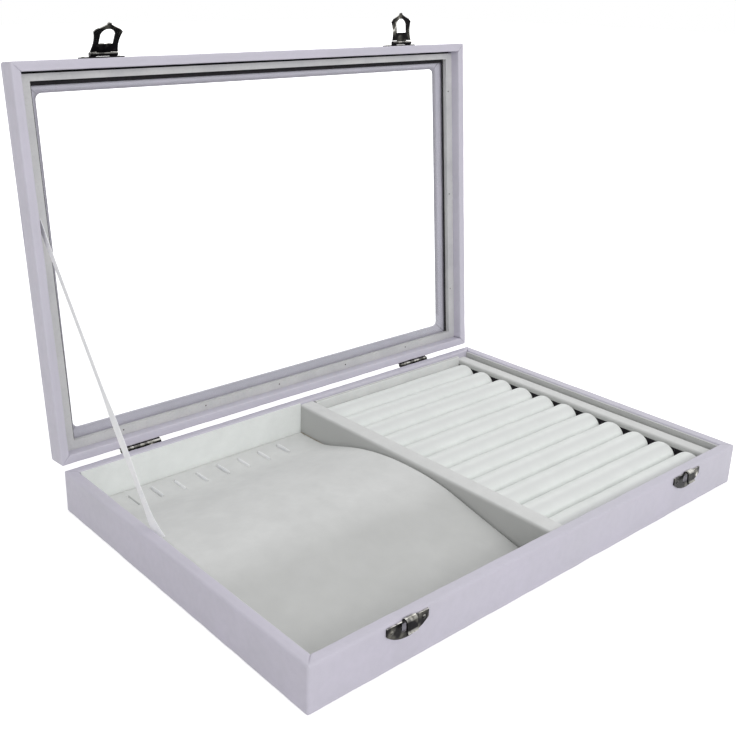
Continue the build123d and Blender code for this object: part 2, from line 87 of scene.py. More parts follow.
# The box stands on a white studio sweep under broad soft lamps and a pale sky of light.
# The sweep and the sky look white to the lens and in the metal, and the sweep still takes
# the box's shadow.
class Amount:
    """A number or colour that varies over a surface. Arithmetic adds Math nodes to its finish."""

    def __init__(self, finish, socket):
        self.finish = finish
        self.socket = socket

    def worked(self, operation, *terms):
        return self.finish.add("ShaderNodeMath", {"operation": operation}, dict(enumerate(terms)))

    def __add__(self, other):
        return self.worked("ADD", self, other)

    def __rsub__(self, other):
        return self.worked("SUBTRACT", other, self)

    def __mul__(self, other):
        return self.worked("MULTIPLY", self, other)


class Finish:
    """A surface finish: a Principled material, whose even sockets are given at the start."""

    # The numbers of a Mix node's colour sockets, whose names it uses more than once.
    FIRST_COLOUR, SECOND_COLOUR, MIXED_COLOUR = 6, 7, 2

    def __init__(self, name, even):
        self.material = bpy.data.materials.new(name)
        self.material.use_nodes = True
        self.tree = self.material.node_tree
        self.shader = self.tree.nodes["Principled BSDF"]
        self.output = self.tree.nodes["Material Output"]
        for socket, value in even.items():
            self.shader.inputs[socket].default_value = value

    def add(self, kind, settings, sockets, output=0):
        """Makes a node: settings first, then values or links for its sockets. Gives one output."""
        node = self.tree.nodes.new(kind)
        for name, value in settings.items():
            setattr(node, name, value)
        for name, value in sockets.items():
            if isinstance(value, Amount):
                self.tree.links.new(value.socket, node.inputs[name])
            else:
                node.inputs[name].default_value = value
        return Amount(self, node.outputs[output])

    def feed(self, **amounts):
        """Links what varies to the shader; underscores stand for the spaces of a socket's name."""
        for name, amount in amounts.items():
            self.tree.links.new(amount.socket, self.shader.inputs[name.replace("_", " ")])
        return self

    def place(self):
        """Where a point lies on the piece, in metres."""
        return self.add("ShaderNodeTexCoord", {}, {}, "Object")

    def facing(self, axis):
        """How far the surface faces along an axis, from -1 to 1."""
        normal = self.add("ShaderNodeNewGeometry", {}, {}, "Normal")
        return self.add("ShaderNodeSeparateXYZ", {}, {0: normal}, axis)

    def mark(self, name):
        """The value that the mesh holds at each point under this name."""
        return self.add("ShaderNodeAttribute", {"attribute_name": name}, {}, "Fac")

    def noise(self, place, scale, detail=2.0, rough=0.5):
        """Soft noise from 0 to 1, with features about 1 / scale metres across."""
        sockets = {"Vector": place, "Scale": scale, "Detail": detail, "Roughness": rough}
        return self.add("ShaderNodeTexNoise", {}, sockets)

    def drawn_noise(self, place, scales, detail):
        """Soft noise from 0 to 1, with features about 1 / scale metres long along each axis."""
        drawn = self.add("ShaderNodeMapping", {}, {"Vector": place, "Scale": scales})
        return self.noise(drawn, scale=1.0, detail=detail)

    def ramp(self, amount, low, high):
        """0 where the amount is under low, 1 over high, and an even rise between."""
        sockets = {"Value": amount, "From Min": low, "From Max": high}
        return self.add("ShaderNodeMapRange", {"clamp": True}, sockets)

    def layered(self, colour, *layers):
        """The colour with others laid over it in turn, each given as a share and a colour."""
        for share, layer in layers:
            sockets = {0: share, self.FIRST_COLOUR: colour, self.SECOND_COLOUR: layer}
            colour = self.add("ShaderNodeMix", {"data_type": "RGBA"}, sockets, self.MIXED_COLOUR)
        return colour

    def relief(self, height, depth, under=None):
        """A surface normal tilted by a height from 0 to 1 that stands for depth metres."""
        sockets = {"Height": height, "Distance": depth, "Strength": 1.0}
        if under is not None:
            sockets["Normal"] = under
        return self.add("ShaderNodeBump", {}, sockets)


def tint(red, green, blue):
    """A display colour, each part 0 to 255, made linear for the nodes by the sRGB curve."""
    shares = np.array([red, green, blue]) / 255
    linear = np.where(shares < 0.04045, shares / 12.92, ((shares + 0.055) / 1.055) ** 2.4)
    return (*linear.tolist(), 1.0)


WHITE = (1.0, 1.0, 1.0, 1.0)
SEEN_RAYS = ("Is Camera Ray", "Is Glossy Ray", "Is Transmission Ray")


def seen_white(finish):
    """1 for rays from the lens, from mirrors and through glass, 0 for rays that carry light."""
    rays = [finish.add("ShaderNodeLightPath", {}, {}, ray) for ray in SEEN_RAYS]
    return finish.add("ShaderNodeMath", {"operation": "ADD", "use_clamp": True},
                      {0: rays[0], 1: rays[1] + rays[2]})


SWEEP_HALF = 6.0
SWEEP_DROP = 0.2 * MM
SWEEP_GLOW, SWEEP_GLOW_RISE = 0.55, 0.5
sweep_plan = ((-1, -1), (1, -1), (1, 1), (-1, 1))
sweep_corners = [(x * SWEEP_HALF, y * SWEEP_HALF, 0) for x, y in sweep_plan]
sweep_mesh = bpy.data.meshes.new("sweep")
sweep_mesh.from_pydata(sweep_corners, [], [(0, 1, 2, 3)])
sweep = bpy.data.objects.new("sweep", sweep_mesh)
sweep.location.z = -SWEEP_DROP
scene.collection.objects.link(sweep)
paper = Finish("sweep paper", {
    "Base Color": tint(236, 236, 236), "Roughness": 0.9, "Emission Color": WHITE,
})
from_case = paper.add("ShaderNodeVectorMath", {"operation": "LENGTH"}, {0: paper.place()}, "Value")
paper_glow = paper.ramp(from_case, 0.25, 1.0) * SWEEP_GLOW_RISE + SWEEP_GLOW
paper.feed(Emission_Strength=seen_white(paper) * paper_glow)
sweep_mesh.materials.append(paper.material)

SKY_LIGHT = 0.62
sky = bpy.data.worlds.new("sky")
sky.use_nodes = True
scene.world = sky
sky_nodes, sky_links = sky.node_tree.nodes, sky.node_tree.links
sky_light = sky_nodes["Background"]
sky_light.inputs["Color"].default_value = WHITE
sky_rays = sky_nodes.new("ShaderNodeLightPath")
seen = sky_rays.outputs[SEEN_RAYS[0]]
for ray in SEEN_RAYS[1:]:
    either = sky_nodes.new("ShaderNodeMath")
    either.operation = "MAXIMUM"
    sky_links.new(seen, either.inputs[0])
    sky_links.new(sky_rays.outputs[ray], either.inputs[1])
    seen = either.outputs[0]
sky_level = sky_nodes.new("ShaderNodeMapRange")
sky_level.inputs["To Min"].default_value = SKY_LIGHT
sky_level.inputs["To Max"].default_value = 1.0
sky_links.new(seen, sky_level.inputs["Value"])
sky_links.new(sky_level.outputs[0], sky_light.inputs["Strength"])

LAMPS_AIM = np.array([0.0, 0.0, 0.05])
LAMPS_UPWARD = np.array([0.0, 1.0, 0.1])
for lamp_name, lamp_place, lamp_side, lamp_power in (
    ("lamp_over", (0.45, 0.4, 0.8), 0.6, 1.75),
    ("lamp_front", (-0.2, -1.8, 1.1), 0.8, 11.0),
    ("lamp_left", (-0.95, -0.3, 0.12), 0.4, 0.15),
):
    lamp = bpy.data.objects.new(lamp_name, bpy.data.lights.new(lamp_name, "AREA"))
    lamp.data.size = lamp_side
    lamp.data.energy = lamp_power
    lamp_back = np.array(lamp_place) - LAMPS_AIM
    lamp_back /= np.linalg.norm(lamp_back)
    lamp_right = np.cross(LAMPS_UPWARD, lamp_back)
    lamp_right /= np.linalg.norm(lamp_right)
    lamp_up = np.cross(lamp_back, lamp_right)
    lamp_rows = np.eye(4)
    lamp_rows[:3, :3] = np.stack([lamp_right, lamp_up, lamp_back], axis=1)
    lamp_rows[:3, 3] = lamp_place
    lamp.matrix_world = Matrix(lamp_rows.tolist())
    scene.collection.objects.link(lamp)
scene.view_settings.view_transform = "Standard"


# Case walls: four wooden battens mitred at the corners and wrapped in a lilac-white leatherette.
# The cloth is drawn round the battens' edges and folded in along each mitre, where it leaves
# a crease, which painted shade darkens.
HALF_WIDTH = 175.0 * MM
HALF_DEPTH = 116.2 * MM
BASE_HEIGHT = 26.0 * MM
BASE_WALL = 6.5 * MM
CORNER_ROUND = 1.6 * MM

leatherette = Finish("leatherette", {"Specular IOR Level": 0.4})
skin_place = leatherette.place()
skin_blotch = leatherette.noise(skin_place, scale=34.0, detail=4.0, rough=0.6)
skin_cloud = leatherette.noise(skin_place, scale=9.0, detail=2.0)
skin_mottle = leatherette.noise(skin_place, scale=240.0, detail=3.0)
skin_pebble = leatherette.add(
    "ShaderNodeTexVoronoi", {"feature": "SMOOTH_F1"},
    {"Vector": skin_place, "Scale": 1700.0, "Smoothness": 0.6}, "Distance")
skin_pore = leatherette.noise(skin_place, scale=5200.0, detail=2.0)
skin_worn = leatherette.mark("edge") * leatherette.ramp(skin_mottle, 0.3, 0.6)
skin = leatherette.layered(
    tint(207, 203, 217),
    (leatherette.ramp(skin_blotch, 0.35, 0.68), tint(202, 199, 211)),
    (leatherette.ramp(skin_cloud, 0.4, 0.65) * 0.5, tint(204, 202, 212)),
    (leatherette.ramp(skin_mottle, 0.4, 0.75) * 0.2, tint(190, 187, 200)),
    (skin_worn * 0.35, tint(222, 219, 230)),
    # Painted shade: the crease marks darken the folds at the mitres and at the window.
    (leatherette.mark("crease"), tint(96, 90, 104)),
)
skin_sheen = leatherette.ramp(skin_mottle + skin_blotch * 0.5, 0.4, 1.1) * 0.12 + 0.4
skin_bump = leatherette.relief(skin_pebble * 0.8 + skin_pore * 0.2, 0.05 * MM)
leatherette.feed(Base_Color=skin, Roughness=skin_sheen, Normal=skin_bump)


def waves(points, length, seed):
    """Soft unevenness, mostly from -1 to 1.

    It is the mean of twelve sine waves, each about length long, in seeded random directions.
    """
    count = 12
    dice = np.random.default_rng(seed)
    ways = dice.normal(size=(count, 3))
    ways *= dice.uniform(0.7, 1.5, (count, 1)) / np.linalg.norm(ways, axis=1, keepdims=True)
    starts = dice.uniform(0, 2 * math.pi, count)
    turns = points @ ways.T * (2 * math.pi / length) + starts
    return np.sin(turns).mean(axis=-1) * 2.0


def grid_faces(rows, columns, ring=False):
    """Quads between neighbours on a grid of points; a ring joins the last column to the first."""
    row = np.arange(rows - 1)[:, None]
    column = np.arange(columns if ring else columns - 1)[None, :]
    beside = (column + 1) % columns
    corners = [row * columns + column, row * columns + beside]
    corners += [(row + 1) * columns + beside, (row + 1) * columns + column]
    return np.stack(corners, axis=-1).reshape(-1, 4)


def piece(name, grids, finish, body, ring=False, spots=None, sharp=45.0, rides=True):
    """A mesh from grids of points (rows, columns, 3), doubles merged and faces turned outwards.

    spots holds float attributes, one array for each name, in the order of the points. With
    rides false the piece is attached to no body.
    """
    points = np.concatenate([grid.reshape(-1, 3) for grid in grids])
    firsts = np.cumsum([0] + [grid.shape[0] * grid.shape[1] for grid in grids])
    faces = np.concatenate([grid_faces(*grid.shape[:2], ring) + first
                            for grid, first in zip(grids, firsts)])
    mesh = bpy.data.meshes.new(name)
    mesh.from_pydata(points.tolist(), [], faces.tolist())
    for spot, values in (spots or {}).items():
        marks = mesh.attributes.new(spot, "FLOAT", "POINT")
        marks.data.foreach_set("value", np.ravel(values).astype(np.float32))
    work = bmesh.new()
    work.from_mesh(mesh)
    bmesh.ops.remove_doubles(work, verts=work.verts, dist=1e-6)
    bmesh.ops.dissolve_degenerate(work, edges=work.edges, dist=1e-7)
    bmesh.ops.recalc_face_normals(work, faces=work.faces)
    work.to_mesh(mesh)
    work.free()
    mesh.polygons.foreach_set("use_smooth", np.ones(len(mesh.polygons), bool))
    mesh.set_sharp_from_angle(angle=math.radians(sharp))
    mesh.materials.append(finish.material)
    made = bpy.data.objects.new(name, mesh)
    scene.collection.objects.link(made)
    if rides:
        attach(made, body)
    return made


def slab(low, high):
    """A thin box: its section is carried along X between two closed ends."""
    (y_low, z_low), (y_high, z_high) = low[1:], high[1:]
    section = np.array([(y_low, z_low), (y_high, z_low), (y_high, z_high), (y_low, z_high)])
    middle = np.broadcast_to(section.mean(axis=0), section.shape)
    rows = [(low[0], middle), (low[0], section), (high[0], section), (high[0], middle)]
    return np.stack([np.concatenate([np.full((4, 1), x), plan], axis=1) for x, plan in rows])


def capped(grid):
    """A tube of points, a ring in each row, with both ends closed on their middles."""
    caps = np.broadcast_to(grid[[0, -1]].mean(axis=1, keepdims=True), (2, *grid.shape[1:]))
    return np.concatenate([caps[:1], grid, caps[1:]])


def rounded_outline(low, high, rounds, step):
    """Closed outline of a rectangle with rounded corners and points about step apart on its flats.

    The corners come in the order low-low, high-low, high-high, low-high. Also gives the outward
    directions, and an edge mark that is 1 on the corners and falls away over about a millimetre.
    """
    arc_points = 6
    low, high = np.array(low), np.array(high)
    corners = np.array([low, (high[0], low[1]), high, (low[0], high[1])])
    inward = np.array([(1, 1), (-1, 1), (-1, -1), (1, -1)])
    arcs = []
    for corner in range(4):
        turn = math.pi * (1 + corner / 2) + np.linspace(0, math.pi / 2, arc_points)
        centre = corners[corner] + rounds[corner] * inward[corner]
        arcs.append(centre + rounds[corner] * np.stack([np.cos(turn), np.sin(turn)], axis=1))
    parts = []
    for corner in range(4):
        start = arcs[corner][-1]
        finish = arcs[(corner + 1) % 4][0]
        count = max(2, int(np.linalg.norm(finish - start) / step))
        flat = start + (finish - start) * np.linspace(0, 1, count + 1)[1:-1, None]
        parts += [arcs[corner], flat]
    outline = np.concatenate(parts)
    along = np.roll(outline, -1, axis=0) - np.roll(outline, 1, axis=0)
    outward = np.stack([along[:, 1], -along[:, 0]], axis=1)
    outward /= np.linalg.norm(outward, axis=1, keepdims=True)
    reach = np.linalg.norm(outline[:, None] - corners[None], axis=2).min(axis=1)
    return outline, outward, np.exp(-(reach / MM) ** 2)


# Each side's direction along, its direction outwards, half its length, and how far out it is.
WALL_SIDES = {
    "front": ((1.0, 0.0), (0.0, -1.0), HALF_WIDTH, HALF_DEPTH),
    "back": ((-1.0, 0.0), (0.0, 1.0), HALF_WIDTH, HALF_DEPTH),
    "left": ((0.0, -1.0), (-1.0, 0.0), HALF_DEPTH, HALF_WIDTH),
    "right": ((0.0, 1.0), (1.0, 0.0), HALF_DEPTH, HALF_WIDTH),
}
MITRE_STEPS = np.array([0.0, 0.12, 0.28, 0.5, 0.8, 1.2, 1.7, 2.4, 3.4, 4.8, 6.6, 9.0]) * MM
MITRE_END = 12.0 * MM
WALL_STEP = 4.5 * MM
SECTION_STEP = 2.2 * MM
CREASE_SHADE = 0.28


def wrapped_wall(side, wall, bottom, top, rounds, seed):
    """The skin of one mitred batten: a rounded section carried along its side, cut on the mitres.

    Waves make it uneven, its long edges more than its flats. Near a mitre it dips into a crease
    and swells beside it, except on the outer face. The upright corner is rounded by drawing
    points outside its quarter circle onto it. Gives the grid, edge marks and crease marks, which
    darken the crease as painted shade.
    """
    way, out, half_along, half_across = WALL_SIDES[side]
    outline, outward, edge = rounded_outline((0.0, bottom), (wall, top), rounds, SECTION_STEP)
    even_steps = np.linspace(MITRE_END, half_along, int(half_along / WALL_STEP))
    off_mitre = np.concatenate([MITRE_STEPS, even_steps])
    share = 1 - off_mitre / half_along
    share = np.concatenate([-share, share[-2::-1]])
    off_mitre = np.concatenate([off_mitre, off_mitre[-2::-1]])
    depth = np.broadcast_to(outline[:, 0], (len(share), len(outline))).copy()
    along = share[:, None] * (half_along - outline[:, 0])
    height = np.broadcast_to(outline[:, 1], depth.shape).copy()
    flat = np.stack([along, depth, height], axis=-1)
    broad_swell = 0.07 * MM * waves(flat, 38.0 * MM, seed)
    small_swell = 0.035 * MM * waves(flat, 9.0 * MM, seed + 1)
    edge_swell = 0.14 * MM * waves(flat, 15.0 * MM, seed + 2) * edge
    swell = broad_swell + small_swell + edge_swell
    off_face = np.clip((outline[:, 0] - 1.0 * MM) / (1.5 * MM), 0, 1)
    crease_dip = np.exp(-(off_mitre / (0.3 * MM)) ** 2) * 0.22
    side_swell = np.exp(-((off_mitre / MM - 1.5) / 0.9) ** 2) * 0.1
    dip = crease_dip - side_swell
    swell = swell * np.clip(off_mitre / (3 * MM), 0, 1)[:, None] - dip[:, None] * off_face * MM
    depth += outward[:, 0] * swell
    height += outward[:, 1] * swell
    gap = half_along - np.abs(along)
    beyond = np.hypot(CORNER_ROUND - gap, CORNER_ROUND - depth)
    outside = (gap < CORNER_ROUND) & (depth < CORNER_ROUND) & (beyond > CORNER_ROUND)
    pull = np.where(outside, CORNER_ROUND / np.maximum(beyond, 1e-9), 1.0)
    gap = np.where(outside, CORNER_ROUND - (CORNER_ROUND - gap) * pull, gap)
    depth = np.where(outside, CORNER_ROUND - (CORNER_ROUND - depth) * pull, depth)
    along = np.sign(along) * (half_along - gap)
    across = half_across - depth
    x = along * way[0] + across * out[0]
    y = along * way[1] + across * out[1]
    grid = capped(np.stack([x, y, height], axis=-1))
    edge_marks = np.broadcast_to(edge, grid.shape[:2])
    # Painted shade: these marks darken the fold at each mitre.
    crease = np.exp(-(off_mitre[:, None] / (0.35 * MM)) ** 2) * off_face * CREASE_SHADE
    crease_shade_marks = np.concatenate([crease[:1], crease, crease[-1:]])
    return grid, edge_marks, crease_shade_marks


BASE_ROUNDS = (0.5 * MM, 0.4 * MM, 0.9 * MM, 1.3 * MM)
for number, side in enumerate(WALL_SIDES):
    grid, edge_marks, crease_shade_marks = wrapped_wall(
        side, BASE_WALL, 0.0, BASE_HEIGHT, BASE_ROUNDS, seed=10 * number)
    wall_piece = piece(f"case_{side}_leatherette", [grid], leatherette, "case",
                       ring=True, spots={"edge": edge_marks, "crease": crease_shade_marks})
    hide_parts(f"case_{side}_wall")


# Underside: a board that closes the case, under a sheet of grey felt. Both are pressed in
# between the walls and glued. More of the same board lies under the pad and the rolls.
felt = Finish("felt", {"Roughness": 0.95, "Specular IOR Level": 0.2, "Sheen Weight": 0.3})
felt_place = felt.place()
felt_fibre = felt.noise(felt_place, scale=1500.0, detail=4.0, rough=0.7)
felt_patch = felt.noise(felt_place, scale=60.0, detail=3.0)
felt_skin = felt.layered(
    tint(120, 119, 124),
    (felt.ramp(felt_fibre, 0.3, 0.7), tint(152, 151, 156)),
    (felt.ramp(felt_patch, 0.4, 0.7) * 0.4, tint(134, 132, 140)),
)
felt.feed(Base_Color=felt_skin, Normal=felt.relief(felt_fibre, 0.15 * MM))

board = Finish("board", {"Roughness": 0.85, "Specular IOR Level": 0.25})
board_fibre = board.noise(board.place(), scale=900.0, detail=5.0, rough=0.7)
board_skin = board.layered(
    tint(176, 164, 142),
    (board.ramp(board_fibre, 0.3, 0.7), tint(196, 186, 166)),
)
board.feed(Base_Color=board_skin, Normal=board.relief(board_fibre, 0.06 * MM))


def dress(finish, slot, *nodes):
    """Gives made pieces of the frame this finish."""
    for node in nodes:
        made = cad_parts[node]
        if not made.material_slots:
            made.data.materials.append(finish.material)
        for holder in made.material_slots:
            holder.material = finish.material


dress(felt, "felt", "bottom_cover")
dress(board, "board", "bottom_board", "tray_floor", "pad_board")


# Compartment liners: thin cards covered in the same pale velvet as the pads, but the back one
# wears the paler velvet of the rolls as painted light. They stand against the walls and stop
# just under the rim. The ring tray's boards wear the velvet too.
def velvet_finish(name, pale, brushed, pressed, deep, painted_shade):
    """Short pile in five shades.

    They are even, brushed in broad strokes, pressed in small patches and deep between fibres;
    the fifth is painted shade, on upright faces turned left and on slopes falling to the front.
    """
    made = Finish(name, {
        "Roughness": 0.92, "Specular IOR Level": 0.15,
        "Sheen Weight": 0.15, "Sheen Roughness": 0.45,
    })
    place = made.place()
    brush = made.noise(place, scale=45.0, detail=3.0, rough=0.6)
    patch = made.noise(place, scale=170.0, detail=3.0)
    fibre = made.noise(place, scale=4200.0, detail=2.0, rough=0.7)
    # Painted shade: upright faces turned left and upward slopes falling to the front take a darker
    # tint.
    turned_left = made.ramp(0 - made.facing("X"), 0.35, 0.95)
    facing_up = made.ramp(made.facing("Z"), 0.6, 0.9)
    falling_forward = made.ramp(0 - made.facing("Y"), 0.05, 0.32) * facing_up
    nap = made.layered(
        brushed,
        (made.ramp(brush, 0.35, 0.68), pale),
        (made.ramp(patch, 0.42, 0.72) * 0.25, pressed),
        (made.ramp(fibre, 0.5, 0.8) * 0.3, deep),
        (turned_left * 0.8, painted_shade),
        (falling_forward * 0.8, painted_shade),
    )
    bumps = made.relief(fibre, 0.12 * MM, under=made.relief(patch, 0.1 * MM))
    return made.feed(Base_Color=nap, Normal=bumps)


velvet = velvet_finish(
    "velvet", pale=tint(230, 231, 230), brushed=tint(223, 224, 223), pressed=tint(215, 216, 215),
    deep=tint(196, 198, 197), painted_shade=tint(184, 185, 183))
foam_and_lit_velvet = velvet_finish(
    "foam and lit velvet", pale=tint(246, 249, 247), brushed=tint(240, 243, 241),
    pressed=tint(231, 234, 232), deep=tint(213, 216, 214), painted_shade=tint(226, 228, 227))
# Painted light: the back liner wears the paler roll velvet, which stands for the stronger light on
# it.
dress(foam_and_lit_velvet, "velvet", "liner_back")
dress(velvet, "velvet", "liner_left", "liner_front", "tray_left_board", "tray_right_board",
      "tray_back_board", "tray_front_board")
RIGHT_LINER_LOW = np.array([167.3, -109.4, 4.1]) * MM
RIGHT_LINER_HIGH = np.array([168.35, 109.4, 24.7]) * MM
piece("liner_right_velvet", [slab(RIGHT_LINER_LOW, RIGHT_LINER_HIGH)], velvet, "case",
      ring=True, sharp=30.0)


# Bracelet pad: thick foam under velvet on a card, arched from back to front so that bracelets
# lie over it. Its level back end has a row of eight slits, whose lips stand a little proud.
# The velvet is turned down round its edges.
PAD_LOW = np.array([-166.5, -108.3]) * MM
PAD_HIGH = np.array([-2.0, 108.3]) * MM
PAD_UNDER = 3.5 * MM
PAD_ARCH = np.array([
    (-108.3, 4.6), (-92.5, 6.1), (-78.5, 9.0), (-51.5, 15.3), (-32.5, 19.8), (-16.5, 21.7),
    (-0.5, 22.2), (15.5, 21.5), (31.5, 19.6), (46.5, 16.3), (61.5, 11.6), (76.5, 6.6),
    (85.5, 4.9), (95.5, 4.7), (108.3, 4.8),
]) * MM
PAD_EDGE_ROUND = 3.4 * MM
PAD_EDGE_DROP = 2.2 * MM
SLIT_X = (-142.5 + 16.2 * np.arange(8)) * MM
SLIT_LOW, SLIT_HIGH = 86.3 * MM, 100.3 * MM
SLIT_HALF = 0.45 * MM
SLIT_SLOPE = 0.45 * MM
SLIT_FLOOR = 0.12
LIP_HEIGHT, LIP_PLACE, LIP_WIDTH = 0.25 * MM, 0.9 * MM, 0.8 * MM


def spread(low, high, step, fine, near):
    """Steps from low to high: finer within 3 mm of each place in near, and close at the ends."""
    reach = 3 * MM
    places = [np.arange(low, high, step), [high]]
    for place in near:
        places.append(place + np.arange(-reach, reach + fine, fine))
    ends = np.array([0.1, 0.3, 0.6, 1.0, 1.6, 2.4, 3.4]) * MM
    steps = np.concatenate([*places, low + ends, high - ends])
    return np.unique(np.round(np.clip(steps, low, high), 7))


def smoothed(plot, places, reach, count):
    """Values of a plotted line, each the mean of count values spread over reach to either side."""
    shifts = np.linspace(-reach, reach, count)
    return np.mean([np.interp(places + shift, *plot.T) for shift in shifts], axis=0)


def pad_height(x, y):
    """Height of the pad's top: the smoothed arch, made uneven, with slits and rolled edges."""
    point = np.stack([x, y, 0 * x], axis=-1)
    off_sides = np.minimum(x - PAD_LOW[0], PAD_HIGH[0] - x)
    off_ends = np.minimum(y - PAD_LOW[1], PAD_HIGH[1] - y)
    inside = np.clip(np.minimum(off_sides, off_ends) / PAD_EDGE_ROUND, 0, 1)
    roll = np.sqrt(np.clip(1 - (1 - inside) ** 2, 0, 1))
    height = smoothed(PAD_ARCH, y, 6 * MM, 9) - 0.2 * MM
    height += 0.12 * MM * waves(point, 55 * MM, 71)
    height += 0.05 * MM * waves(point, 14 * MM, 72)
    across = np.abs(x[..., None] - SLIT_X).min(axis=-1)
    beyond = np.maximum(np.maximum(SLIT_LOW - y, y - SLIT_HIGH), 0)
    off_slit = np.hypot(np.maximum(across - SLIT_HALF, 0), beyond)
    lip = LIP_HEIGHT * np.exp(-((off_slit - LIP_PLACE) / LIP_WIDTH) ** 2)
    rise = np.clip(off_slit / SLIT_SLOPE, 0, 1) ** 0.5
    height = PAD_UNDER + (height + lip - PAD_UNDER) * (SLIT_FLOOR + (1 - SLIT_FLOOR) * rise)
    return height - np.minimum(height - PAD_UNDER, PAD_EDGE_DROP) * (1 - roll)


pad_x = spread(PAD_LOW[0], PAD_HIGH[0], 2.5 * MM, 0.25 * MM, SLIT_X)
pad_y = spread(PAD_LOW[1], PAD_HIGH[1], 3.0 * MM, 0.5 * MM, (SLIT_LOW, SLIT_HIGH))
pad_grid_x, pad_grid_y = np.meshgrid(pad_x, pad_y, indexing="ij")
pad_top = np.stack([pad_grid_x, pad_grid_y, pad_height(pad_grid_x, pad_grid_y)], axis=-1)
pad_under = np.stack([pad_grid_x, pad_grid_y, 0 * pad_grid_x + PAD_UNDER], axis=-1)
whole = slice(None)
pad_sides = ((0, whole), (-1, whole), (whole, 0), (whole, -1))
pad_skirts = [np.stack([pad_top[side], pad_under[side]]) for side in pad_sides]
bracelet_pad = piece("bracelet_pad_velvet", [pad_top, pad_under, *pad_skirts], velvet,
                     "case")
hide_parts("bracelet_pad")


# Ribbon tabs: a short satin ribbon folded double stands in each slit and holds a bracelet's clasp.
# They stand two or three millimetres high against the slit's right lip, and the first is
# pressed nearly flat.
ribbon = Finish("ribbon", {"Specular IOR Level": 0.35, "Sheen Weight": 0.2})
ribbon_patch = ribbon.noise(ribbon.place(), scale=260.0, detail=3.0)
ribbon_skin = ribbon.layered(
    tint(254, 254, 255),
    (ribbon.ramp(ribbon_patch, 0.35, 0.7), tint(247, 248, 251)),
)
ribbon.feed(Base_Color=ribbon_skin, Roughness=ribbon_patch * 0.15 + 0.45)
TAB_Y = 93.3 * MM
TAB_HALF = 6.5 * MM
TAB_FOOT = 0.15 * MM
TAB_ASIDE = 0.32 * MM
TAB_THICK = 0.3 * MM
TAB_RISE = np.array([0.4, 3.1, 1.7, 2.2, 3.0, 1.9, 2.2, 3.1]) * MM
TAB_LEAN = np.array([0.5, 0.15, 0.7, 0.5, 0.2, 0.6, 0.5, 0.1]) * MM


def folded_tab(x, rise, lean, seed):
    """A ribbon folded double: a thin closed loop, up one side and down the other.

    The loop is carried across the ribbon's width and stands lower towards the ribbon's edges.
    """
    widths = 17
    turn = np.linspace(0, 2 * math.pi, 28, endpoint=False)
    up = 0.5 - 0.5 * np.cos(turn)
    half = TAB_THICK * np.sin(turn) * (0.6 + 0.7 * up)
    width = np.concatenate([[-1.0], np.linspace(-1, 1, widths), [1.0]])[:, None]
    shut = np.concatenate([[0.0], np.ones(widths), [0.0]])[:, None]
    sag = 1 - 0.16 * np.abs(width) ** 3
    y = TAB_Y + TAB_HALF * width + 0 * turn
    point = np.stack([0 * y + x, y, 0 * y], axis=-1)
    bend = 0.15 * MM * waves(point, 9 * MM, seed)
    across = x + TAB_ASIDE + lean * up ** 1.5 + half * shut + bend * up
    share = up * sag * shut + 0.5 * (1 - shut)
    above = PAD_UNDER + TAB_FOOT + (rise - TAB_FOOT) * share
    return np.stack([across, y, above], axis=-1)


tabs = zip(SLIT_X, TAB_RISE, TAB_LEAN)
tab_grids = [folded_tab(*values, seed) for seed, values in enumerate(tabs, 40)]
ribbon_tabs = piece("ribbon_tabs", tab_grids, ribbon, "case", ring=True)
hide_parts("pad_tabs")


# Ring rolls: eleven foam bars wrapped in velvet, laid side by side so that rings stand in the
# cracks between them. The velvet is drawn over each bar's ends and glued under its foot.
# A dark card beside their right ends is painted shade for the deep notches between the roll ends.
ROLL_LOW, ROLL_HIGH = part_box("ring_roll_01")
ROLL_RADIUS = (ROLL_HIGH.y - ROLL_LOW.y) / 2
ROLL_ENDS = (2.0 * MM, 4.5 * MM)
ROLL_END_REACH = 6.5 * MM
ROLL_FOOT = 2.5 * MM
ROLL_CORE_DROP = 1.5 * MM


def drawn_in(off, radius):
    """How far the section draws in at this distance from the bar's end, on a quarter circle."""
    return radius - np.sqrt(radius ** 2 - np.clip(radius - off, 0, None) ** 2)


